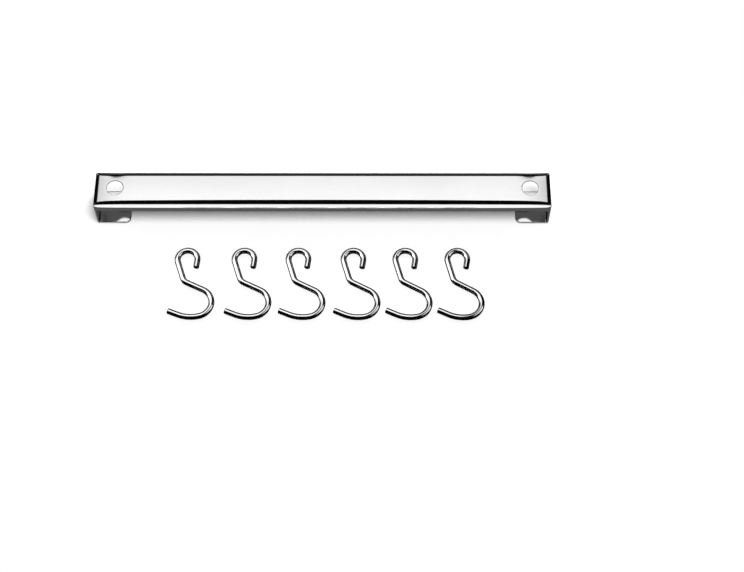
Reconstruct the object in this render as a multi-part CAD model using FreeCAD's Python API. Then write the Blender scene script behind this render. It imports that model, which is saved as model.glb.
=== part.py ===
import FreeCAD, Part
import math
import os

# A wall rail folded and pressed from one steel sheet, shown with its loose S-hooks.
# X runs along the rail, +Y is the side that is up on the wall, +Z leads away from the
# wall.  The origin lies on the wall, midway between the two screw holes.  All in mm.

# The rail
RAIL_LENGTH = 400.0
FACE_HEIGHT = 36.0
STAND_OFF = 34.0             # wall to the front of the face
SHEET = 1.2
BEND_R = 6.0                 # outside radius where the long edges turn back
END_BEND_R = 3.5             # outside radius where the ends turn back
EDGE_DEPTH = 10.0            # how far the long edges turn back from the face
CORNER_R = 1.6               # outside radius of the four closed corners
FOOT_LENGTH = 29.0
FOOT_BEND_R = 3.0            # outside radius between end wall and foot
FOOT_CORNER_R = 5.0          # free corners of the feet
HOLE_INSET = 18.0            # screw holes and access holes from the rail's ends
ACCESS_D = 14.4              # hole in the face that lets the screwdriver through
SCREW_D = 5.2

# One hook: a wire bent in its own plane, from the short end to the long end
WIRE_D = 5.2
WIRE_CHAMFER = 0.4
START_HEADING = 83.3         # degrees, 90 points to +Y
SHORT_END = 7.4
EYE_R = 8.7                  # all radii to the wire's centreline
EYE_ANGLE = 204.0
LEG = 16.9
KNEE_R = 7.5
KNEE_ANGLE = 46.0
SLANT = 16.0
BELLY_R = 13.6
BELLY_ANGLE = 141.0
ARM_R = 30.0
ARM_ANGLE = 35.1
TIP = 9.6

# The hooks lie loose in a row below the rail, each a little more turned than the one
# before it: middle of the eye as a share of the rail's length, and the turn in degrees
ROW_GAP = 36.3               # lower edge of the face to the middle of the eyes
HOOK_PLACES = (
    (-0.2959, 0.9),
    (-0.1712, 0.1),
    (-0.0529, -0.7),
    (0.0676, -1.5),
    (0.1814, -2.2),
    (0.2953, -3.0),
)

HOLE_X = RAIL_LENGTH / 2 - HOLE_INSET
ROW_Y = -(FACE_HEIGHT / 2 + ROW_GAP)
STRIP_WIDTH = FACE_HEIGHT - 2 * CORNER_R
EDGE_Z = STAND_OFF - EDGE_DEPTH


def vec(x, y, z):
    return FreeCAD.Vector(x, y, z)


def outline(points):
    """Closed wire through straight sides and arcs.

    Each entry is a corner point, or a pair (point on the arc, end of the arc).
    """
    edges = []
    here = points[0]
    for step in points[1:]:
        if isinstance(step, tuple):
            through, end = step
            edges.append(Part.Arc(here, through, end).toShape())
            here = end
        else:
            edges.append(Part.makeLine(here, step))
            here = step
    if here.distanceToPoint(points[0]) > 1e-6:
        edges.append(Part.makeLine(here, points[0]))
    return Part.Wire(edges)


def arch(half, top, low, radius, place, along):
    """Solid of an arched outline: flat top, two rounded shoulders, straight sides."""
    s = radius * math.sin(math.pi / 4)
    side = half - radius
    shoulder = top - radius
    wire = outline([
        place(-half, low),
        place(-half, shoulder),
        (place(-side - s, shoulder + s), place(-side, top)),
        place(side, top),
        (place(side + s, shoulder + s), place(half, shoulder)),
        place(half, low),
    ])
    return Part.Face(wire).extrude(along)


def tray_block(inset, low):
    """The filled tray, drawn in by the inset, with its underside at low."""
    half_x = RAIL_LENGTH / 2 - inset
    half_y = FACE_HEIGHT / 2 - inset
    top = STAND_OFF - inset
    long_way = arch(half_y, top, low, BEND_R - inset,
                    lambda u, w: vec(-half_x, u, w), vec(2 * half_x, 0, 0))
    cross_way = arch(half_x, top, low, END_BEND_R - inset,
                     lambda u, w: vec(u, -half_y, w), vec(0, 2 * half_y, 0))
    r = CORNER_R - inset
    d = r * (1 - math.sin(math.pi / 4))
    x, y = half_x, half_y
    plan = outline([
        vec(-x + r, -y, low), vec(x - r, -y, low),
        (vec(x - d, -y + d, low), vec(x, -y + r, low)), vec(x, y - r, low),
        (vec(x - d, y - d, low), vec(x - r, y, low)), vec(-x + r, y, low),
        (vec(-x + d, y - d, low), vec(-x, y - r, low)), vec(-x, -y + r, low),
        (vec(-x + d, -y + d, low), vec(-x + r, -y, low)),
    ])
    upright = Part.Face(plan).extrude(vec(0, 0, top - low))
    return long_way.common(cross_way).common(upright)


def end_strip(side):
    """End wall below the turned edges, its bend and its foot, at side -1 or +1."""
    half = RAIL_LENGTH / 2
    r = FOOT_BEND_R
    q = r * (1 - math.sin(math.pi / 4))
    ri = r - SHEET
    qi = SHEET + ri * (1 - math.sin(math.pi / 4))
    low = -STRIP_WIDTH / 2

    def at(inward, z):
        return vec(side * (half - inward), low, z)

    section = outline([
        at(0, EDGE_Z),
        at(0, r),
        (at(q, q), at(r, 0)),
        at(FOOT_LENGTH, 0),
        at(FOOT_LENGTH, SHEET),
        at(r, SHEET),
        (at(qi, qi), at(SHEET, r)),
        at(SHEET, EDGE_Z),
    ])
    strip = Part.Face(section).extrude(vec(0, STRIP_WIDTH, 0))
    free_x = side * (half - FOOT_LENGTH)
    corners = []
    for edge in strip.Edges:
        a, b = edge.Vertexes[0].Point, edge.Vertexes[-1].Point
        upright = abs(a.x - b.x) < 1e-6 and abs(a.y - b.y) < 1e-6
        if upright and abs(a.x - free_x) < 1e-6:
            corners.append(edge)
    return strip.makeFillet(FOOT_CORNER_R, corners)


def make_rail():
    tray = tray_block(0.0, EDGE_Z).cut(tray_block(SHEET, EDGE_Z - BEND_R))
    rail = tray.fuse([end_strip(-1), end_strip(1)]).removeSplitter()
    for side in (-1, 1):
        access = Part.makeCylinder(ACCESS_D / 2, 3 * SHEET,
                                   vec(side * HOLE_X, 0, STAND_OFF - 2 * SHEET))
        screw = Part.makeCylinder(SCREW_D / 2, 3 * SHEET, vec(side * HOLE_X, 0, -SHEET))
        rail = rail.cut(access).cut(screw)
    return rail.Solids[0] if len(rail.Solids) == 1 else rail


def hook_path():
    """The wire's centreline in a plane, with the middle of the eye at the origin."""
    heading = math.radians(START_HEADING)
    # the eye starts on a circle about the origin and turns to the left
    x, y = EYE_R * math.sin(heading), -EYE_R * math.cos(heading)
    x -= SHORT_END * math.cos(heading)
    y -= SHORT_END * math.sin(heading)
    start = (x, y, heading)
    bends = (
        (SHORT_END, EYE_R, EYE_ANGLE),
        (LEG, KNEE_R, KNEE_ANGLE),
        (SLANT, BELLY_R, -BELLY_ANGLE),
        (0.0, ARM_R, -ARM_ANGLE),
        (TIP, 0.0, 0.0),
    )
    edges = []
    for straight, radius, turn in bends:
        if straight > 0:
            nx = x + straight * math.cos(heading)
            ny = y + straight * math.sin(heading)
            edges.append(Part.makeLine(vec(x, y, 0), vec(nx, ny, 0)))
            x, y = nx, ny
        if radius > 0:
            sign = 1 if turn > 0 else -1
            cx = x - sign * radius * math.sin(heading)
            cy = y + sign * radius * math.cos(heading)
            stops = []
            for part in (0.5, 1.0):
                h = heading + math.radians(turn) * part
                stops.append(vec(cx + sign * radius * math.sin(h),
                                 cy - sign * radius * math.cos(h), 0))
            edges.append(Part.Arc(vec(x, y, 0), stops[0], stops[1]).toShape())
            x, y = stops[1].x, stops[1].y
            heading += math.radians(turn)
    return Part.Wire(edges), start


def make_hook():
    path, (x, y, heading) = hook_path()
    ring = Part.Wire(Part.makeCircle(WIRE_D / 2, vec(x, y, 0),
                                     vec(math.cos(heading), math.sin(heading), 0)))
    hook = path.makePipeShell([ring], True, False)
    ends = [e for f in hook.Faces if isinstance(f.Surface, Part.Plane) for e in f.Edges]
    hook = hook.makeChamfer(WIRE_CHAMFER, ends).Solids[0]
    hook.translate(vec(0, 0, WIRE_D / 2))
    return hook


os.makedirs("parts", exist_ok=True)

rail = make_rail()
rail.exportStep("parts/rail.step")
print("rail", rail.ShapeType, rail.isValid(), round(rail.Volume, 1), rail.BoundBox)

one_hook = make_hook()
print("hook", one_hook.ShapeType, one_hook.isValid(), round(one_hook.Volume, 1),
      one_hook.optimalBoundingBox())
for number, (along, turn) in enumerate(HOOK_PLACES, start=1):
    hook = one_hook.copy()
    hook.rotate(vec(0, 0, 0), vec(0, 0, 1), turn)
    hook.translate(vec(along * RAIL_LENGTH, ROW_Y, 0))
    hook.exportStep("parts/hook_%d.step" % number)
    print("hook_%d" % number, hook.isValid(), hook.optimalBoundingBox())
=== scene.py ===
import logging
import math
from collections import Counter
from dataclasses import dataclass, field, replace
from enum import Enum
from typing import Any, Callable, Iterable, Mapping, Optional, Sequence, Union

import bmesh
import bpy
from mathutils import Matrix, Vector
from mathutils.geometry import tessellate_polygon


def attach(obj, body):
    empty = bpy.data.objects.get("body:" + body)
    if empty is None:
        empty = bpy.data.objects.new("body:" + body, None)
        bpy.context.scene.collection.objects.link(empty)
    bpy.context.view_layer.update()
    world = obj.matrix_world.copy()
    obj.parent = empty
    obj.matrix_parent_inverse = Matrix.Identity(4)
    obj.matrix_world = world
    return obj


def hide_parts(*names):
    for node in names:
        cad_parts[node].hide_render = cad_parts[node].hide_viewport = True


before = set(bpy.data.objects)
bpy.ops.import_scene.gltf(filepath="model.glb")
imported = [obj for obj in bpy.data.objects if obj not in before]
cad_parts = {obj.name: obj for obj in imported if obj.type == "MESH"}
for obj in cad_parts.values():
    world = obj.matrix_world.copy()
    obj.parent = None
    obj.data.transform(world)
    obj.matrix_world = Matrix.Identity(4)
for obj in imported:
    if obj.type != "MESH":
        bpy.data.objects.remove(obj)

# A wall rail folded from one polished steel sheet, with six loose S-hooks of chromed wire
# that lie in a row in front of it.  The rail rests on its two feet with its face up.
# Lengths in the classes are millimetres, as on a workshop drawing; meshes are in metres.

MM = 0.001
ROOT = "root"
Colour = tuple[float, float, float]
Point = tuple[float, float, float]

log = logging.getLogger("rail")


class Slot(Enum):
    """The record's material slots."""

    RAIL = "rail_steel"
    HOOK = "hook_chrome"


class Shown(Enum):
    """Which pieces a reflection panel shows in."""

    RAIL = "rail"
    HOOKS = "hooks"


# Shading

PATCH_STRETCH = (0.5, 1.0, 1.0)    # the hazy patches are longer along X
PATCH_EDGE = (0.3, 0.7)            # noise levels between which a patch sets in
WAVE_STRETCH = (0.6, 1.0, 1.0)     # and so are the slow waves
WAVES_PER_METRE = 18.0


class Value:
    """A number socket that takes part in Python arithmetic; each step adds a Math node."""

    def __init__(self, bench: "NodeBench", socket: bpy.types.NodeSocket) -> None:
        """Keep the socket and the bench that adds nodes for it."""
        self.bench = bench
        self.socket = socket

    def _join(self, operation: str, first: Any, second: Any) -> "Value":
        """Add one Math node.

        Args:
            operation: The Math node's operation.
            first: A Value or a number for the upper socket.
            second: A Value or a number for the lower socket.

        Returns:
            The node's result.
        """
        node = self.bench.node("ShaderNodeMath", {"operation": operation}, {0: first, 1: second})
        return Value(self.bench, node.outputs[0])

    def __add__(self, other: Any) -> "Value":
        """Sum."""
        return self._join("ADD", self, other)

    def __radd__(self, other: Any) -> "Value":
        """Sum with a number in front."""
        return self._join("ADD", other, self)

    def __sub__(self, other: Any) -> "Value":
        """Difference."""
        return self._join("SUBTRACT", self, other)

    def __rsub__(self, other: Any) -> "Value":
        """Difference from a number."""
        return self._join("SUBTRACT", other, self)

    def __mul__(self, other: Any) -> "Value":
        """Product."""
        return self._join("MULTIPLY", self, other)

    def most(self, other: Any) -> "Value":
        """The larger of the two."""
        return self._join("MAXIMUM", self, other)

    def least(self, other: Any) -> "Value":
        """The smaller of the two."""
        return self._join("MINIMUM", self, other)

    def ease(self, low: float, high: float) -> "Value":
        """A smooth step from 0 at low to 1 at high.

        Args:
            low: Where the step starts.
            high: Where the step ends.

        Returns:
            The eased value.
        """
        node = self.bench.node(
            "ShaderNodeMapRange", {"interpolation_type": "SMOOTHSTEP"},
            {"Value": self, "From Min": low, "From Max": high})
        return Value(self.bench, node.outputs["Result"])


class NodeBench:
    """Adds nodes to one node tree."""

    def __init__(self, tree: bpy.types.NodeTree) -> None:
        """Take over the tree and empty it."""
        self.tree = tree
        tree.nodes.clear()

    def node(self, kind: str, settings: Optional[Mapping[str, Any]] = None,
             inputs: Optional[Mapping[Union[str, int], Any]] = None) -> bpy.types.Node:
        """Add any node.

        Args:
            kind: The node's type.
            settings: Its own settings, set before its sockets.
            inputs: Values or links of its sockets, by name or place.

        Returns:
            The new node.
        """
        made = self.tree.nodes.new(kind)
        for name, setting in (settings or {}).items():
            setattr(made, name, setting)
        for key, given in (inputs or {}).items():
            socket = made.inputs[key]
            if isinstance(given, Value):
                given = given.socket
            if isinstance(given, bpy.types.NodeSocket):
                self.tree.links.new(given, socket)
            else:
                socket.default_value = given
        return made

    def value(self, node: bpy.types.Node, output: Union[str, int]) -> Value:
        """One output of a node as a Value."""
        return Value(self, node.outputs[output])

    def place(self) -> bpy.types.NodeSocket:
        """The piece's own coordinates, in metres."""
        return self.node("ShaderNodeTexCoord").outputs["Object"]

    def stretched(self, vector: bpy.types.NodeSocket, by: Point) -> bpy.types.NodeSocket:
        """A vector scaled along each axis.

        Args:
            vector: The vector.
            by: The three factors.

        Returns:
            The scaled vector.
        """
        made = self.node("ShaderNodeVectorMath", {"operation": "MULTIPLY"}, {0: vector, 1: by})
        return made.outputs[0]

    def noise(self, vector: bpy.types.NodeSocket, scale: float, detail: float,
              roughness: float) -> Value:
        """Cloudy noise between 0 and 1.

        Args:
            vector: Where the noise is read.
            scale: Clouds per metre of the vector.
            detail: How many finer layers it has.
            roughness: How strong the finer layers are.

        Returns:
            The noise value.
        """
        made = self.node("ShaderNodeTexNoise", {"noise_dimensions": "3D"},
                         {"Vector": vector, "Scale": scale, "Detail": detail,
                          "Roughness": roughness})
        return Value(self, made.outputs[0])

    def mixed(self, amount: Value, first: Colour, second: Colour) -> bpy.types.NodeSocket:
        """A colour between two.

        Args:
            amount: 0 for the first colour, 1 for the second.
            first: A colour.
            second: Another colour.

        Returns:
            The mixed colour's socket.
        """
        made = self.node("ShaderNodeMix", {"data_type": "RGBA"},
                         {0: amount, 6: (*first, 1.0), 7: (*second, 1.0)})
        return made.outputs[2]


def new_material(name: str) -> tuple[bpy.types.Material, NodeBench]:
    """A new material and the bench for its nodes.

    Args:
        name: The material's name.

    Returns:
        The empty material and its bench.
    """
    made = bpy.data.materials.new(name)
    made.use_nodes = True
    return made, NodeBench(made.node_tree)


def plain_material(name: str, kind: str, level: float) -> bpy.types.Material:
    """A surface of one even grey.

    Args:
        name: The material's name.
        kind: The type of its shader node.
        level: How bright the grey is.

    Returns:
        The material.
    """
    made, bench = new_material(name)
    shader = bench.node(kind, {}, {"Color": (level, level, level, 1.0)})
    bench.node("ShaderNodeOutputMaterial", {}, {"Surface": shader.outputs[0]})
    return made


@dataclass(frozen=True)
class Finish:
    """A metal surface: two close shades, its gloss, and the marks that its making left."""

    name: str
    shade: Colour
    bright: Colour
    gloss: float            # lowest roughness
    haze: float             # roughness added in the hazy patches
    patches: float          # patches per metre
    grain: Point            # how the fine lines are stretched along X, Y and Z
    grain_rough: float      # roughness added by the fine lines
    grain_depth: float      # depth of the fine lines in millimetres
    wave: float             # depth of the slow waviness in millimetres

    def material(self) -> bpy.types.Material:
        """Build the finish.

        Returns:
            The material.
        """
        made, bench = new_material(self.name)
        place = bench.place()
        cloud = bench.noise(bench.stretched(place, PATCH_STRETCH), self.patches,
                            detail=3.0, roughness=0.55)
        patch = cloud.ease(*PATCH_EDGE)
        grain = bench.noise(bench.stretched(place, self.grain), 1.0, detail=2.0, roughness=0.6)
        slow = bench.noise(bench.stretched(place, WAVE_STRETCH), WAVES_PER_METRE,
                           detail=1.0, roughness=0.4)
        height = slow * (self.wave * MM) + grain * (self.grain_depth * MM)
        bump = bench.node("ShaderNodeBump", {}, {"Strength": 1.0, "Distance": 1.0,
                                                 "Height": height})
        surface = bench.node("ShaderNodeBsdfPrincipled", {}, {
            "Base Color": bench.mixed(patch, self.shade, self.bright),
            "Metallic": 1.0,
            "Roughness": self.gloss + patch * self.haze + grain * self.grain_rough,
            "Normal": bump.outputs["Normal"],
        })
        bench.node("ShaderNodeOutputMaterial", {}, {"Surface": surface.outputs["BSDF"]})
        return made


POLISHED_SHEET = Finish(
    name="polished_sheet", shade=(0.780, 0.780, 0.782), bright=(0.836, 0.836, 0.837),
    gloss=0.05, haze=0.03, patches=26.0, grain=(12.0, 900.0, 900.0),
    grain_rough=0.03, grain_depth=0.0006, wave=0.03)

SHEARED_SHEET = Finish(
    name="sheared_sheet", shade=(0.50, 0.50, 0.51), bright=(0.66, 0.66, 0.67),
    gloss=0.20, haze=0.08, patches=120.0, grain=(1400.0, 1400.0, 90.0),
    grain_rough=0.12, grain_depth=0.004, wave=0.0)

CHROMED_WIRE = Finish(
    name="chromed_wire", shade=(0.785, 0.786, 0.790), bright=(0.850, 0.850, 0.852),
    gloss=0.04, haze=0.03, patches=90.0, grain=(500.0, 500.0, 500.0),
    grain_rough=0.02, grain_depth=0.0004, wave=0.008)

CUT_WIRE = Finish(
    name="cut_wire", shade=(0.30, 0.30, 0.31), bright=(0.46, 0.46, 0.47),
    gloss=0.30, haze=0.10, patches=400.0, grain=(200.0, 3000.0, 3000.0),
    grain_rough=0.12, grain_depth=0.006, wave=0.0)


# Meshes

CORNER_BLEND = 0.853       # a closed corner's radius as a share of the width of its blend
RAY_REACH = 2.2            # longest ray to the sheet, in bends
RAY_HALVINGS = 36          # steps of the search along it
SLOPE_STEP = 1e-3          # millimetres to each side where the sheet's slope is taken
STRIP_SLACK = 0.01         # millimetres by which a grid line may miss the strip's edge
FOOT_KEY = 1000            # where the keys of the end walls' pairs start, far from the tray's
SOLE_KEY = 3000            # the same for the flats of the feet
SHARP_DEGREES = 32.0       # a wire's edge from which on it is shaded sharp
SIDE_CORNERS = 4           # corners of a face on a wire's side; its cut ends have more


def add_object(name: str, data: bpy.types.ID) -> bpy.types.Object:
    """Put a mesh, a lamp or a camera into the scene.

    Args:
        name: The object's name.
        data: Its mesh, light or camera data.

    Returns:
        The object, at the origin.
    """
    made = bpy.data.objects.new(name, data)
    bpy.context.scene.collection.objects.link(made)
    return made


def as_plain_mesh(obj: bpy.types.Object) -> None:
    """Turn what the object's modifiers give into its own plain mesh.

    Args:
        obj: The object; it has no modifier left afterwards.
    """
    graph = bpy.context.evaluated_depsgraph_get()
    plain = bpy.data.meshes.new_from_object(obj.evaluated_get(graph), depsgraph=graph)
    obj.modifiers.clear()
    spare = obj.data
    obj.data = plain
    bpy.data.meshes.remove(spare)
    plain.name = obj.name


@dataclass
class SheetShell:
    """A bent sheet, gathered as pairs of an outside and an inside point."""

    outside: list[Vector] = field(default_factory=list)
    inside: list[Vector] = field(default_factory=list)
    known: dict[Point, int] = field(default_factory=dict)
    faces: list[tuple[int, ...]] = field(default_factory=list)

    def pair(self, key: Sequence[float], make: Callable[[], tuple[Vector, Vector]]) -> int:
        """The number of a pair, made when its key is new.

        Args:
            key: Three numbers that name the pair.
            make: Gives the outside and the inside point.

        Returns:
            The pair's number.
        """
        name = tuple(round(part, 4) for part in key)
        if name not in self.known:
            outer, inner = make()
            self.known[name] = len(self.outside)
            self.outside.append(outer)
            self.inside.append(inner)
        return self.known[name]

    def grid(self, rows: Sequence[Sequence[int]],
             skip: Optional[Callable[[int, int], bool]] = None) -> None:
        """Fill a grid of pairs with four-sided faces.

        Args:
            rows: Rows of pair numbers.
            skip: Says which cells stay open, by row and column.
        """
        for i in range(len(rows) - 1):
            for j in range(len(rows[i]) - 1):
                if skip is None or not skip(i, j):
                    self.faces.append((rows[i][j], rows[i + 1][j],
                                       rows[i + 1][j + 1], rows[i][j + 1]))

    def mesh(self, name: str, rounding: Callable[[Vector, bool], float]) -> bpy.types.Mesh:
        """Both sides of the sheet and its cut edges, as one closed mesh.

        Args:
            name: The mesh's name.
            rounding: How far a cut edge is rounded over, as a share of the most, by its
                middle and whether it lies on the inside.

        Returns:
            The mesh; its cut edges have material number 1.
        """
        count = len(self.outside)
        sides = Counter(tuple(sorted(side)) for face in self.faces
                        for side in zip(face, face[1:] + face[:1]))
        cut = [side for side, uses in sides.items() if uses == 1]
        polygons = list(self.faces)
        polygons += [tuple(count + k for k in reversed(face)) for face in self.faces]
        polygons += [(a, b, count + b, count + a) for a, b in cut]
        made = bpy.data.meshes.new(name)
        made.from_pydata([p * MM for p in self.outside + self.inside], [], polygons)
        made.materials.append(POLISHED_SHEET.material())
        made.materials.append(SHEARED_SHEET.material())
        for polygon in made.polygons[2 * len(self.faces):]:
            polygon.material_index = 1
        work = bmesh.new()
        work.from_mesh(made)
        bmesh.ops.recalc_face_normals(work, faces=work.faces)
        weight = work.edges.layers.float.new("bevel_weight_edge")
        for edge in work.edges:
            if {face.material_index for face in edge.link_faces} == {0, 1}:
                a, b = edge.verts
                edge[weight] = rounding((a.co + b.co) / (2 * MM), min(a.index, b.index) >= count)
        for face in work.faces:
            face.smooth = True
        work.to_mesh(made)
        work.free()
        return made


@dataclass(frozen=True)
class Line:
    """A grid line of the tray: where its rays start, and how they lean."""

    start: float
    lean: float = 0.0

    def at(self, reach: float) -> float:
        """Where the line's ray would end on the square-cornered tray."""
        return self.start + self.lean * reach


@dataclass
class Rail:
    """The rail: a shallow tray with its face up, an end wall and a foot at each end."""

    length: float = 400.0
    width: float = 36.0
    height: float = 34.0
    sheet: float = 1.2
    bend: float = 6.0
    front_slow: float = 1.2       # how much tighter the front bend is at its ends, slowly
    front_quick: float = 1.2      # and quickly, close to the corners
    back_quick: float = 0.5       # the same close to the corners for the back bend
    corner_pinch: float = 1.8     # how much tighter the bends are right in the corners
    back_pinch: float = 0.8       # the same for the back bend
    slow_power: int = 2           # how late along the rail each of these sets in
    quick_power: int = 24
    pinch_power: int = 60
    end_pinch_power: int = 14     # the same across the ends
    end_bend: float = 3.5
    corner: float = 1.6
    edge_depth: float = 10.0
    foot_length: float = 29.0
    foot_bend: float = 3.0
    foot_corner: float = 5.0
    hole_inset: float = 18.0
    access_hole: float = 14.4
    screw_hole: float = 5.2
    edge_break: float = 0.25      # how far the cut edges are rounded over
    hole_break: float = 0.45      # the same for the rims of the access holes
    edge_roll: float = 0.95       # how far the shears rolled over the upper edges of the feet
    edge_roll_top: float = 8.0    # height at which the roll has died away
    edge_segments: int = 4
    crown: float = 0.30           # how much lower the long edges lie than the middle of the face
    end_fall: float = 0.25        # how much lower the face lies at its ends
    end_fall_from: float = 170.0
    dip: float = 0.35             # dent in the upper edge beside each access hole
    dip_reach: float = 8.0
    fan_degrees: tuple[float, ...] = (0.0, 5.5, 11.0, 16.5, 22.0, 27.5, 40.5, 45.0)
    wall_steps: tuple[float, ...] = (0.3, 0.6, 0.8, 1.0)
    ring_steps: tuple[float, ...] = (0.0, 0.3, 0.55, 0.78, 1.0)
    patch_cells: int = 16
    step_along: float = 5.0       # grid lines along the middle of the rail
    arc_steps: int = 8            # along a bend or a corner of a foot
    screw_hole_sides: int = 48
    flat_start: float = 0.8       # flat of a foot between its bend and its plan
    shell: SheetShell = field(default_factory=SheetShell)

    def __post_init__(self) -> None:
        """Work out the sizes that follow from the others."""
        self.half = self.length / 2
        self.side = self.width / 2
        self.flat_x = self.half - self.bend
        self.flat_y = self.side - self.bend
        self.flat_z = self.height - self.bend
        self.edge_z = self.height - self.edge_depth
        self.hole_x = self.half - self.hole_inset
        self.strip_side = self.side - self.corner
        strip_line = math.degrees(math.atan2(self.strip_side - self.flat_y, self.bend))
        self.fan = [math.tan(math.radians(d)) for d in sorted((*self.fan_degrees, strip_line))]

    @staticmethod
    def _bend_distance(across: float, up: float, radius: float) -> float:
        """Distance to a bent edge; both amounts are zero on its two flat sides."""
        a, u = across + radius, up + radius
        return math.hypot(max(a, 0.0), max(u, 0.0)) + min(max(a, u), 0.0) - radius

    def bend_at(self, x: float, y: float) -> float:
        """Outside radius of the long bends.

        Args:
            x: The place along the rail.
            y: Negative for the front bend, positive for the back bend.

        Returns:
            The radius there.
        """
        share = min(1.0, abs(x) / self.half)
        slow, quick = share ** self.slow_power, share ** self.quick_power
        pinch = share ** self.pinch_power
        if y > 0:
            return self.bend - self.back_quick * quick - self.back_pinch * pinch
        return (self.bend - self.front_slow * slow - self.front_quick * quick
                - self.corner_pinch * pinch)

    def depth(self, p: Vector) -> float:
        """How far a point lies outside the tray's outer skin.

        Args:
            p: The point.

        Returns:
            The distance, negative inside.
        """
        up = p.z - self.height
        a = self._bend_distance(abs(p.y) - self.side, up, self.bend_at(p.x, p.y)) - up
        pinch = self.corner_pinch * min(1.0, abs(p.y) / self.side) ** self.end_pinch_power
        b = self._bend_distance(abs(p.x) - self.half, up, self.end_bend - pinch) - up
        small, large = min(a, b), max(a, b)
        soft = min(self.corner / CORNER_BLEND, small)
        if soft > 0.0:
            share = max(soft - (large - small), 0.0) / soft
            large += share * share * soft / 4
        return up + large

    def _skin(self, start: Vector, lean: Vector) -> tuple[Vector, Vector]:
        """The sheet's two points on a ray.

        Args:
            start: Where the ray starts, inside the tray.
            lean: Its direction.

        Returns:
            The outside and the inside point.
        """
        low, high = 0.0, RAY_REACH * self.bend
        for _ in range(RAY_HALVINGS):
            middle = (low + high) / 2
            if self.depth(start + lean * middle) < 0.0:
                low = middle
            else:
                high = middle
        outer = start + lean * low
        steps = [Vector(axis) * SLOPE_STEP for axis in ((1, 0, 0), (0, 1, 0), (0, 0, 1))]
        slope = Vector([self.depth(outer + step) - self.depth(outer - step) for step in steps])
        return self._pressed(outer), self._pressed(outer - slope.normalized() * self.sheet)

    def _pressed(self, p: Vector) -> Vector:
        """A point after the press has crowned the face and dented its upper edge a little.

        Args:
            p: The point on the plain sheet.

        Returns:
            The point on the pressed sheet.
        """
        share = max(0.0, min(1.0, (p.z - self.edge_z) / self.edge_depth))
        fall = self.crown * (p.y / self.side) ** 2
        far = max(0.0, abs(p.x) - self.end_fall_from) / (self.half - self.end_fall_from)
        fall += self.end_fall * far * far
        near = math.exp(-((abs(p.x) - self.hole_x) / self.dip_reach) ** 2)
        edge = max(0.0, min(1.0, (p.y - self.flat_y / 2) / (self.side - self.flat_y / 2)))
        fall += self.dip * near * edge * edge * (3 - 2 * edge)
        return Vector((p.x, p.y, p.z - share * fall))

    def _tray_pair(self, x: Line, y: Line, z: Line) -> int:
        """The sheet's pair of points on the ray that three grid lines give.

        Args:
            x: The line along the rail.
            y: The line across it.
            z: The line down its walls.

        Returns:
            The pair's number.
        """
        start = Vector((x.start, y.start, z.start))
        lean = Vector((x.lean, y.lean, z.lean))
        key = (x.at(self.bend), y.at(self.bend), z.at(self.bend))
        return self.shell.pair(key, lambda: self._skin(start, lean))

    def _lines(self, flat: float, inner: Iterable[float]) -> list[Line]:
        """Grid lines across the tray: a fan in each bend and the given lines between.

        Args:
            flat: Where the bends start.
            inner: The lines between the bends.

        Returns:
            All lines, in order.
        """
        low = [Line(-flat, -lean) for lean in reversed(self.fan[1:])]
        high = [Line(flat, lean) for lean in self.fan[1:]]
        return low + [Line(at) for at in inner] + high

    def _build_tray(self) -> tuple[list[Line], list[Line]]:
        """Build the face, the turned edges and the upper part of the end walls.

        Returns:
            The grid lines across the width and those down the walls.
        """
        cells = self.patch_cells
        patch = [2 * self.flat_y * k / cells for k in range(cells + 1)]
        inner = self.flat_x - 2 * self.flat_y
        count = round(2 * inner / self.step_along)
        middle = [-inner + 2 * inner * k / count for k in range(1, count)]
        along = [-self.flat_x + p for p in patch] + middle + [inner + p for p in patch]
        x_lines = self._lines(self.flat_x, along)
        y_lines = self._lines(self.flat_y, [-self.flat_y + p for p in patch])
        down = [Line(self.flat_z, lean) for lean in reversed(self.fan)]
        reach = self.flat_z - self.edge_z
        down += [Line(self.flat_z - reach * share) for share in self.wall_steps]
        top = Line(self.flat_z, 1.0)

        def over_hole(i: int, j: int) -> bool:
            """Whether a cell of the face belongs to the patch round an access hole.

            Args:
                i: The cell's row.
                j: Its column.

            Returns:
                True where the hole's rings take its place.
            """
            x = (x_lines[i].at(self.bend) + x_lines[i + 1].at(self.bend)) / 2
            y = (y_lines[j].at(self.bend) + y_lines[j + 1].at(self.bend)) / 2
            return inner < abs(x) < self.flat_x and abs(y) < self.flat_y

        rows = [[self._tray_pair(x, y, top) for y in y_lines] for x in x_lines]
        self.shell.grid(rows, over_hole)
        for sign in (-1, 1):
            wall = Line(sign * self.flat_y, sign)
            self.shell.grid([[self._tray_pair(x, wall, z) for z in down] for x in x_lines])
            wall = Line(sign * self.flat_x, sign)
            self.shell.grid([[self._tray_pair(wall, y, z) for z in down] for y in y_lines])
            self._build_access_hole(sign, patch, top)
        return y_lines, down

    def _build_access_hole(self, sign: int, patch: list[float], top: Line) -> None:
        """Fill the patch round an access hole with rings.

        Args:
            sign: -1 for the left end, 1 for the right.
            patch: The patch's grid steps.
            top: The line of the face.
        """
        half = self.flat_y
        steps = [p - half for p in patch]
        border = [(s, -half) for s in steps[:-1]] + [(half, s) for s in steps[:-1]]
        border += [(-s, half) for s in steps[:-1]] + [(-half, -s) for s in steps[:-1]]
        rings = []
        for share in self.ring_steps:
            ring = []
            for bx, by in border + border[:1]:
                far = math.hypot(bx, by)
                rim = self.access_hole / 2 / far
                keep = (1 - share) + share * rim
                x = Line(sign * self.hole_x + bx * keep)
                ring.append(self._tray_pair(x, Line(by * keep), top))
            rings.append(ring)
        self.shell.grid(rings)

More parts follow.
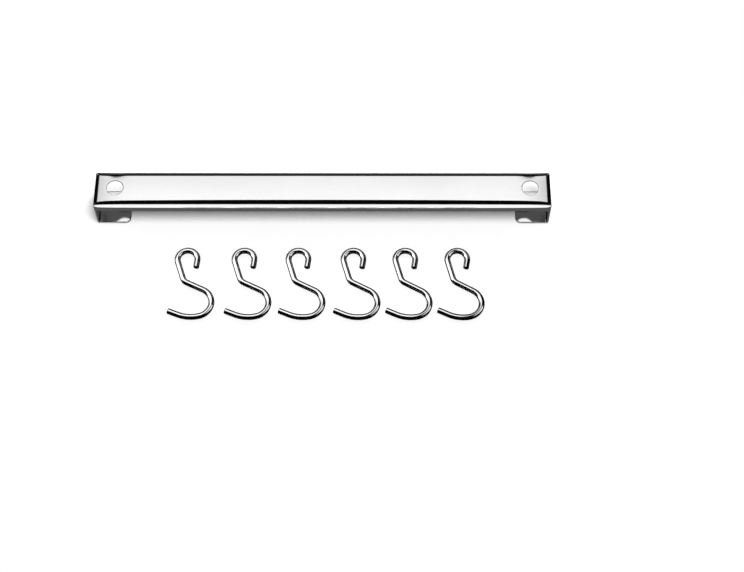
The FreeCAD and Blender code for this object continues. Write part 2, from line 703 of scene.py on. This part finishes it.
    def _build_foot(self, sign: int, y_lines: list[Line], last: Line) -> None:
        """Build the end wall below the turned edges, its bend and the foot.

        Args:
            sign: -1 for the left end, 1 for the right.
            y_lines: The grid lines across the width.
            last: The lowest grid line of the tray's walls.
        """
        wall = Line(sign * self.flat_x, sign)
        strip = [y for y in y_lines if abs(y.at(self.bend)) < self.strip_side + STRIP_SLACK]
        across = [y.at(self.bend) for y in strip]
        rows = [[self._tray_pair(wall, y, last) for y in strip]]
        stations: list[tuple[float, float, float, float]] = []
        drop = self.edge_z - self.foot_bend
        for k in range(1, self.arc_steps + 1):
            z = self.edge_z - drop * k / self.arc_steps
            stations.append((0.0, z, self.sheet, z))
        r, inner = self.foot_bend, self.foot_bend - self.sheet
        for k in range(1, self.arc_steps + 1):
            turn = math.radians(90 * k / self.arc_steps)
            stations.append((r - r * math.cos(turn), r - r * math.sin(turn),
                             r - inner * math.cos(turn), r - inner * math.sin(turn)))
        begin = self.foot_bend + self.flat_start
        stations.append((begin, 0.0, begin, self.sheet))
        for number, (ox, oz, ix, iz) in enumerate(stations):
            row = []
            for y in across:
                outer = Vector((sign * (self.half - ox), y, oz))
                inner_point = Vector((sign * (self.half - ix), y, iz))
                row.append(self.shell.pair((sign * (FOOT_KEY + number), y, 0.0),
                                           lambda o=outer, i=inner_point: (o, i)))
            rows.append(row)
        self.shell.grid(rows)
        self._build_sole(sign, rows[-1], begin)

    def _build_sole(self, sign: int, row: list[int], begin: float) -> None:
        """Build the flat of a foot with its rounded free corners and its screw hole.

        Args:
            sign: -1 for the left end, 1 for the right.
            row: The pairs that the flat starts from.
            begin: How far from the rail's end the flat starts.
        """
        side, r = self.strip_side, self.foot_corner
        free = self.foot_length
        plan: list[tuple[float, float]] = []
        for k in range(self.arc_steps + 1):
            turn = math.radians(90 * k / self.arc_steps)
            plan.append((free - r + r * math.sin(turn), side - r + r * math.cos(turn)))
        plan += [(x, -y) for x, y in reversed(plan)]
        hole = []
        for k in range(self.screw_hole_sides):
            turn = 2 * math.pi * k / self.screw_hole_sides
            hole.append((self.hole_inset + self.screw_hole / 2 * math.cos(turn),
                         self.screw_hole / 2 * math.sin(turn)))

        def number(p: tuple[float, float]) -> int:
            """The pair at a place on the foot.

            Args:
                p: The distance from the rail's end, and the place across it.

            Returns:
                The pair's number.
            """
            outer = Vector((sign * (self.half - p[0]), p[1], 0.0))
            return self.shell.pair((sign * SOLE_KEY + p[0], p[1], 0.0),
                                   lambda: (outer, outer + Vector((0, 0, self.sheet))))

        rim = [(begin, self.shell.outside[k].y) for k in row] + plan
        numbers = row + [number(p) for p in plan + hole]
        loops = [[Vector((x, y, 0)) for x, y in loop] for loop in (rim, hole)]
        for a, b, c in tessellate_polygon(loops):
            self.shell.faces.append((numbers[a], numbers[b], numbers[c]))

    def _rounding(self, middle: Vector, inside: bool) -> float:
        """How far a cut edge is rounded over, as a share of the roll on the feet.

        Args:
            middle: The edge's middle.
            inside: Whether the edge lies on the sheet's inside.

        Returns:
            The share.
        """
        least = self.edge_break / self.edge_roll
        from_axis = math.hypot(abs(middle.x) - self.hole_x, middle.y)
        if middle.z > self.edge_z and from_axis < self.access_hole:
            return self.hole_break / self.edge_roll
        if not inside or from_axis < self.screw_hole:
            return least
        rise = max(0.0, min(1.0, (middle.z - self.sheet) / (self.edge_roll_top - self.sheet)))
        return least + (1 - least) * (1 - rise) ** 2

    def build(self) -> bpy.types.Object:
        """Build and dress the rail.

        Returns:
            The finished piece, which stands for the rail's node.
        """
        y_lines, down = self._build_tray()
        for sign in (-1, 1):
            self._build_foot(sign, y_lines, down[-1])
        piece = add_object("rail_sheet", self.shell.mesh("rail_sheet", self._rounding))
        rounded = piece.modifiers.new("rounded_edges", "BEVEL")
        rounded.limit_method = "WEIGHT"
        rounded.offset_type = "OFFSET"
        rounded.width = self.edge_roll * MM
        rounded.segments = self.edge_segments
        rounded.use_clamp_overlap = False
        as_plain_mesh(piece)
        # The rounded edges stay inside the solid's box
        low = Vector((-self.half, -self.side, 0.0)) * MM
        high = Vector((self.half, self.side, self.height)) * MM
        for vert in piece.data.vertices:
            vert.co = [max(a, min(b, at)) for at, a, b in zip(vert.co, low, high)]
        weighted = piece.modifiers.new("even_shading", "WEIGHTED_NORMAL")
        weighted.keep_sharp = True
        as_plain_mesh(piece)
        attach(piece, ROOT)
        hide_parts("rail")
        return piece


@dataclass
class HookSet:
    """The six hooks: one bent wire, laid down six times."""

    wire: float = 5.2
    chamfer: float = 0.4
    heading: float = 83.3
    short_end: float = 7.4
    eye: float = 8.7
    eye_angle: float = 204.0
    leg: float = 16.9
    knee: float = 7.5
    knee_angle: float = 46.0
    slant: float = 16.0
    belly: float = 13.6
    belly_angle: float = 141.0
    arm: float = 30.0
    arm_angle: float = 35.1
    tip: float = 9.6
    row_y: float = -54.3
    places: tuple[tuple[float, float], ...] = (    # along the rail, and the turn in degrees
        (-118.36, 0.9), (-68.48, 0.1), (-21.16, -0.7),
        (27.04, -1.5), (72.56, -2.2), (118.12, -3.0))
    sides: int = 40
    step: float = 0.6             # between the points along the wire

    def path(self) -> list[Vector]:
        """The wire's middle line, with the middle of the eye at the origin.

        Returns:
            Points from the short end to the tip.
        """
        turn = math.radians(self.heading)
        here = Vector((self.eye * math.sin(turn), -self.eye * math.cos(turn), 0.0))
        here -= self.short_end * Vector((math.cos(turn), math.sin(turn), 0.0))
        points = [here.copy()]
        runs = (
            (self.short_end, self.eye, self.eye_angle),
            (self.leg, self.knee, self.knee_angle),
            (self.slant, self.belly, -self.belly_angle),
            (0.0, self.arm, -self.arm_angle),
            (self.tip, 0.0, 0.0),
        )
        for straight, radius, angle in runs:
            if straight:
                ahead = Vector((math.cos(turn), math.sin(turn), 0.0))
                count = round(straight / self.step)
                points += [here + ahead * (straight * k / count) for k in range(1, count + 1)]
                here = points[-1].copy()
            if radius:
                sweep = math.radians(angle)
                sign = math.copysign(1.0, angle)
                middle = here + sign * radius * Vector((-math.sin(turn), math.cos(turn), 0.0))
                count = round(radius * abs(sweep) / self.step)
                for k in range(1, count + 1):
                    h = turn + sweep * k / count
                    points.append(middle + sign * radius * Vector((math.sin(h), -math.cos(h), 0.0)))
                turn += sweep
                here = points[-1].copy()
        first = points[0] + (points[1] - points[0]).normalized() * self.chamfer
        last = points[-1] + (points[-2] - points[-1]).normalized() * self.chamfer
        return [points[0], first] + points[1:-1] + [last, points[-1]]

    @staticmethod
    def wire_tree() -> bpy.types.NodeTree:
        """The node tree that draws a wire along a path.

        Returns:
            The tree, with the wire's sizes and finishes as inputs.
        """
        tree = bpy.data.node_groups.new("bent_wire", "GeometryNodeTree")
        bench = NodeBench(tree)
        for name, kind in (("Path", "NodeSocketGeometry"), ("Wire Radius", "NodeSocketFloat"),
                           ("Sides", "NodeSocketInt"), ("Cut Chamfer", "NodeSocketFloat"),
                           ("Finish", "NodeSocketMaterial"), ("Cut Finish", "NodeSocketMaterial")):
            tree.interface.new_socket(name=name, in_out="INPUT", socket_type=kind)
        tree.interface.new_socket(name="Wire", in_out="OUTPUT", socket_type="NodeSocketGeometry")
        given = bench.node("NodeGroupInput").outputs
        curve = bench.node("GeometryNodeMeshToCurve", {}, {"Mesh": given["Path"]})
        along = bench.value(bench.node("GeometryNodeSplineParameter"), "Length")
        total = bench.value(bench.node("GeometryNodeSplineLength"), "Length")
        chamfer = Value(bench, given["Cut Chamfer"])
        inset = (chamfer - along.least(total - along)).most(0.0)
        thick = Value(bench, given["Wire Radius"]) - inset
        ring = bench.node("GeometryNodeCurvePrimitiveCircle", {},
                          {"Resolution": given["Sides"], "Radius": 1.0})
        tube = bench.node("GeometryNodeCurveToMesh", {},
                          {"Curve": curve.outputs["Curve"], "Profile Curve": ring.outputs["Curve"],
                           "Scale": thick, "Fill Caps": True})
        corner = bench.value(bench.node("GeometryNodeInputMeshEdgeAngle"), "Unsigned Angle")
        sharp = bench.node("FunctionNodeCompare", {"operation": "GREATER_THAN"},
                           {0: corner, 1: math.radians(SHARP_DEGREES)})
        smooth = bench.node("GeometryNodeSetShadeSmooth", {"domain": "EDGE"},
                            {"Geometry": tube.outputs["Mesh"], "Selection": sharp.outputs[0],
                             "Shade Smooth": False})
        whole = bench.node("GeometryNodeRealizeInstances", {},
                           {"Geometry": smooth.outputs["Geometry"]})
        dressed = bench.node("GeometryNodeSetMaterial", {},
                             {"Geometry": whole.outputs["Geometry"], "Material": given["Finish"]})
        neighbours = bench.node("GeometryNodeInputMeshFaceNeighbors")
        cut = bench.node("FunctionNodeCompare", {"data_type": "INT", "operation": "GREATER_THAN"},
                         {2: neighbours.outputs["Vertex Count"], 3: SIDE_CORNERS})
        ends = bench.node("GeometryNodeSetMaterial", {},
                          {"Geometry": dressed.outputs["Geometry"], "Selection": cut.outputs[0],
                           "Material": given["Cut Finish"]})
        bench.node("NodeGroupOutput", {}, {"Wire": ends.outputs["Geometry"]})
        return tree

    def build(self) -> list[bpy.types.Object]:
        """Bend and lay down the hooks.

        Returns:
            The finished pieces, which stand for the hooks' nodes.
        """
        tree = self.wire_tree()
        sizes = {
            "Wire Radius": self.wire / 2 * MM,
            "Sides": self.sides,
            "Cut Chamfer": self.chamfer * MM,
            "Finish": CHROMED_WIRE.material(),
            "Cut Finish": CUT_WIRE.material(),
        }
        path = self.path()
        pieces = []
        for number, (x, turn) in enumerate(self.places, start=1):
            lay = Matrix.Translation(Vector((x, self.row_y, self.wire / 2)))
            lay = lay @ Matrix.Rotation(math.radians(turn), 4, "Z")
            name = "hook_wire_%d" % number
            line = bpy.data.meshes.new(name)
            line.from_pydata([(lay @ p) * MM for p in path],
                             [(k, k + 1) for k in range(len(path) - 1)], [])
            piece = add_object(name, line)
            nodes = piece.modifiers.new("bent_wire", "NODES")
            nodes.node_group = tree
            for item in tree.interface.items_tree:
                if item.in_out == "INPUT" and item.name in sizes:
                    nodes[item.identifier] = sizes[item.name]
            as_plain_mesh(piece)
            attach(piece, ROOT)
            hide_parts("hook_%d" % number)
            pieces.append(piece)
        return pieces


# The studio

PANEL_CELLS = 24           # cells along each side of a panel


@dataclass(frozen=True)
class Panel:
    """A soft panel that shows only as a reflection.

    Its edges are angles: rise is measured about the rail's long axis from the horizon beyond
    the rail (0) over the top (90) to the horizon in front of it (180), sideways towards +X.
    """

    name: str
    rise: tuple[float, float]
    sideways: tuple[float, float]
    strength: float
    dim: float                   # strength at the low-rise edge as a share of the full one
    soft: tuple[float, float]    # width of the soft edges in degrees
    far: float                   # distance in metres
    shown: Shown
    lean: float = 0.0            # how much lower the panel sits per degree further out

    def mirrored(self) -> "Panel":
        """The panel's twin on the other side."""
        near, away = self.sideways
        return replace(self, name=self.name + "_left", sideways=(-away, -near))

    def mesh(self) -> bpy.types.Mesh:
        """A curved grid, its UV running over the panel.

        Returns:
            The panel's mesh.
        """
        points, uvs, faces = [], [], []
        row = PANEL_CELLS + 1
        for j in range(row):
            for i in range(row):
                u, v = i / PANEL_CELLS, j / PANEL_CELLS
                out = self.sideways[0] + (self.sideways[1] - self.sideways[0]) * u
                drop = self.lean * (abs(out) - min(abs(edge) for edge in self.sideways))
                s = math.radians(out)
                r = math.radians(self.rise[0] + (self.rise[1] - self.rise[0]) * v - drop)
                points.append(Vector((math.sin(s), math.cos(s) * math.cos(r),
                                      math.cos(s) * math.sin(r))) * self.far)
                uvs.append((u, v))
        for j in range(PANEL_CELLS):
            for i in range(PANEL_CELLS):
                a = j * row + i
                faces.append((a, a + 1, a + row + 1, a + row))
        made = bpy.data.meshes.new(self.name)
        made.from_pydata(points, [], faces)
        layer = made.uv_layers.new(name="panel")
        for loop in made.loops:
            layer.data[loop.index].uv = uvs[loop.vertex_index]
        made.materials.append(self.material())
        return made

    def material(self) -> bpy.types.Material:
        """Light that fades at the edges and lets rays through.

        Returns:
            The material.
        """
        made, bench = new_material(self.name)
        uv = bench.node("ShaderNodeTexCoord").outputs["UV"]
        parts = bench.node("ShaderNodeSeparateXYZ", {}, {0: uv})
        u, v = bench.value(parts, 0), bench.value(parts, 1)
        su = self.soft[0] / (self.sideways[1] - self.sideways[0])
        sv = self.soft[1] / (self.rise[1] - self.rise[0])
        mask = u.ease(0.0, su) * (1 - u.ease(1 - su, 1.0))
        mask = mask * v.ease(0.0, sv) * (1 - v.ease(1 - sv, 1.0))
        level = (v * (1 - self.dim) + self.dim) * mask * self.strength
        glow = bench.node("ShaderNodeEmission", {}, {"Color": (1, 1, 1, 1), "Strength": level})
        clear = bench.node("ShaderNodeBsdfTransparent")
        both = bench.node("ShaderNodeAddShader", {}, {0: glow.outputs[0], 1: clear.outputs[0]})
        bench.node("ShaderNodeOutputMaterial", {}, {"Surface": both.outputs[0]})
        return made


@dataclass
class Studio:
    """Floor, lamps, reflection panels and camera."""

    floor_white: float = 0.93
    floor_span: float = 30.0
    floor_gap: float = 2e-5       # how far the floor lies below the soles
    ambient: float = 0.16
    key_power: float = 3.2
    key_from: Point = (0.30, -0.36, 1.0)
    key_soft: float = 34.0        # degrees across
    behind_at: Point = (0.0, 0.060, 0.090)
    behind_from: Point = (0.0, 0.8, 1.0)
    behind_size: tuple[float, float] = (0.42, 0.02)
    behind_power: float = 0.30
    tent_radius: float = 3.0
    tent_cells: tuple[int, int] = (48, 24)    # round and from pole to pole
    dark_above: float = 0.002
    dark_below: float = 0.004
    eye: Point = (0.0433842, -0.7195022, 1.2146512)
    yaw: float = 0.0009
    pitch: float = 1.0857
    roll: float = 0.0014
    aim: float = -0.7             # picture points that the aim is turned sideways by
    lens_pixels: float = 1576.66
    picture_width: float = 744.0
    sensor: float = 36.0          # millimetres
    clip: tuple[float, float] = (0.01, 100.0)
    # name, rise, sideways, strength, dim, soft, far, shown and lean of each panel
    panels: tuple[Panel, ...] = (
        Panel("panel_beyond", (51.0, 67.0), (-22.0, 18.4), 1.30, 0.75, (8.5, 1.5), 2.0, Shown.RAIL),
        Panel("panel_front", (139.0, 211.0), (-30.0, 30.0), 1.25, 0.88, (8.0, 2.0), 2.0, Shown.RAIL),
        Panel("panel_low", (204.0, 358.0), (-30.0, 30.0), 0.10, 1.0, (8.0, 6.0), 2.05, Shown.RAIL),
        Panel("panel_far", (-4.0, 24.0), (-30.0, 30.0), 0.055, 1.0, (8.0, 5.0), 2.0, Shown.RAIL),
        Panel("panel_above", (51.0, 100.0), (-88.0, 11.0), 1.35, 1.0, (8.0, 5.0), 2.1, Shown.HOOKS),
        Panel("panel_left", (2.0, 118.0), (-88.0, -46.0), 0.65, 1.0, (10.0, 10.0), 2.2, Shown.HOOKS),
        Panel("panel_right", (66.0, 130.0), (24.0, 84.0), 0.9, 1.0, (10.0, 10.0), 2.3, Shown.HOOKS),
    )
    side_panels: tuple[Panel, ...] = (    # each with a twin on the other side
        Panel("panel_high", (74.0, 205.0), (24.0, 88.0), 0.70, 0.5, (10.0, 10.0), 2.15, Shown.RAIL),
        Panel("panel_back", (-40.0, 46.0), (24.0, 50.0), 0.60, 1.0, (9.0, 9.0), 2.2, Shown.RAIL, 0.45),
        Panel("panel_under", (205.0, 290.0), (24.0, 88.0), 0.16, 1.0, (10.0, 10.0), 2.25, Shown.RAIL),
    )

    def _glossy_only(self, obj: bpy.types.Object) -> None:
        """Let an object show in reflections and nowhere else.

        Args:
            obj: The object.
        """
        obj.visible_camera = False
        obj.visible_diffuse = False
        obj.visible_transmission = False
        obj.visible_shadow = False

    def build_floor(self) -> None:
        """Lay the pale floor."""
        half, low = self.floor_span / 2, -self.floor_gap
        mesh = bpy.data.meshes.new("floor")
        mesh.from_pydata([(-half, -half, low), (half, -half, low), (half, half, low),
                          (-half, half, low)], [], [(0, 1, 2, 3)])
        mesh.materials.append(plain_material("floor", "ShaderNodeBsdfDiffuse", self.floor_white))
        floor = add_object("floor", mesh)
        floor.visible_glossy = False

    def build_tent(self) -> None:
        """Hang the dark tent that gives the polished metal its black lines."""
        mesh = bpy.data.meshes.new("tent")
        work = bmesh.new()
        around, up = self.tent_cells
        bmesh.ops.create_uvsphere(work, u_segments=around, v_segments=up, radius=self.tent_radius)
        for face in work.faces:
            face.material_index = 0 if face.calc_center_median().z > 0 else 1
        work.to_mesh(mesh)
        work.free()
        for name, level in (("tent_above", self.dark_above), ("tent_below", self.dark_below)):
            mesh.materials.append(plain_material(name, "ShaderNodeEmission", level))
        tent = add_object("tent", mesh)
        self._glossy_only(tent)

    def build_panels(self, groups: Mapping[Shown, Sequence[bpy.types.Object]]) -> None:
        """Hang the reflection panels.

        Args:
            groups: The pieces of each group that a panel can show in.
        """
        twins = tuple(panel.mirrored() for panel in self.side_panels)
        for panel in self.panels + self.side_panels + twins:
            made = add_object(panel.name, panel.mesh())
            self._glossy_only(made)
            seen = bpy.data.collections.new(panel.name)
            for piece in groups[panel.shown]:
                seen.objects.link(piece)
            made.light_linking.receiver_collection = seen

    def build_light(self, rail: bpy.types.Object) -> None:
        """Set the key lamp, the lamp behind the rail and the world.

        Args:
            rail: The piece that throws a shadow; the hooks lie flat and throw none.
        """
        sun = bpy.data.lights.new("key", "SUN")
        sun.energy = self.key_power
        sun.angle = math.radians(self.key_soft)
        lamp = add_object("key", sun)
        lamp.rotation_euler = Vector(self.key_from).to_track_quat("Z", "Y").to_euler()
        lamp.visible_glossy = False
        throws = bpy.data.collections.new("throws_shadow")
        throws.objects.link(rail)
        lamp.light_linking.blocker_collection = throws
        strip = bpy.data.lights.new("behind", "AREA")
        strip.shape = "RECTANGLE"
        strip.size, strip.size_y = self.behind_size
        strip.energy = self.behind_power
        lamp = add_object("behind", strip)
        lamp.location = self.behind_at
        lamp.rotation_euler = Vector(self.behind_from).to_track_quat("Z", "Y").to_euler()
        lamp.visible_glossy = False
        lamp.visible_camera = False
        world = bpy.data.worlds.new("studio")
        world.use_nodes = True
        bench = NodeBench(world.node_tree)
        path = bench.node("ShaderNodeLightPath")
        seen = bench.value(path, "Is Camera Ray").most(bench.value(path, "Is Glossy Ray"))
        seen = seen.most(bench.value(path, "Is Transmission Ray"))
        level = seen * (1 - self.ambient) + self.ambient
        back = bench.node("ShaderNodeBackground", {}, {"Color": (1, 1, 1, 1), "Strength": level})
        bench.node("ShaderNodeOutputWorld", {}, {"Surface": back.outputs[0]})
        bpy.context.scene.world = world

    def build_camera(self) -> None:
        """Stand the camera where the picture was taken."""
        p = self.pitch
        ahead = Vector((math.sin(self.yaw) * math.cos(p), math.cos(self.yaw) * math.cos(p),
                        -math.sin(p)))
        right = Vector((math.cos(self.yaw), -math.sin(self.yaw), 0.0))
        ahead = (ahead + right * self.aim / self.lens_pixels).normalized()
        right = (right - ahead * right.dot(ahead)).normalized()
        up = right.cross(ahead)
        c, s = math.cos(self.roll), math.sin(self.roll)
        right, up = right * c + up * s, up * c - right * s
        turn = Matrix((right, up, -ahead)).transposed()
        data = bpy.data.cameras.new("camera")
        data.sensor_fit = "HORIZONTAL"
        data.sensor_width = self.sensor
        data.lens = self.sensor * self.lens_pixels / self.picture_width
        data.clip_start, data.clip_end = self.clip
        camera = add_object("camera", data)
        camera.matrix_world = Matrix.Translation(Vector(self.eye)) @ turn.to_4x4()
        bpy.context.scene.camera = camera


def main() -> None:
    """Build the object and the studio, and log how many faces each piece has."""
    logging.basicConfig(level=logging.INFO, format="%(message)s")
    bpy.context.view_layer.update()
    bpy.context.scene.view_settings.view_transform = "Standard"
    rail = Rail().build()
    log.info("%s: %d faces", rail.name, len(rail.data.polygons))
    hooks = HookSet().build()
    for hook in hooks:
        log.info("%s: %d faces", hook.name, len(hook.data.polygons))
    studio = Studio()
    studio.build_floor()
    studio.build_tent()
    studio.build_panels({Shown.RAIL: [rail], Shown.HOOKS: hooks})
    studio.build_light(rail)
    studio.build_camera()


if __name__ == "__main__":
    main()
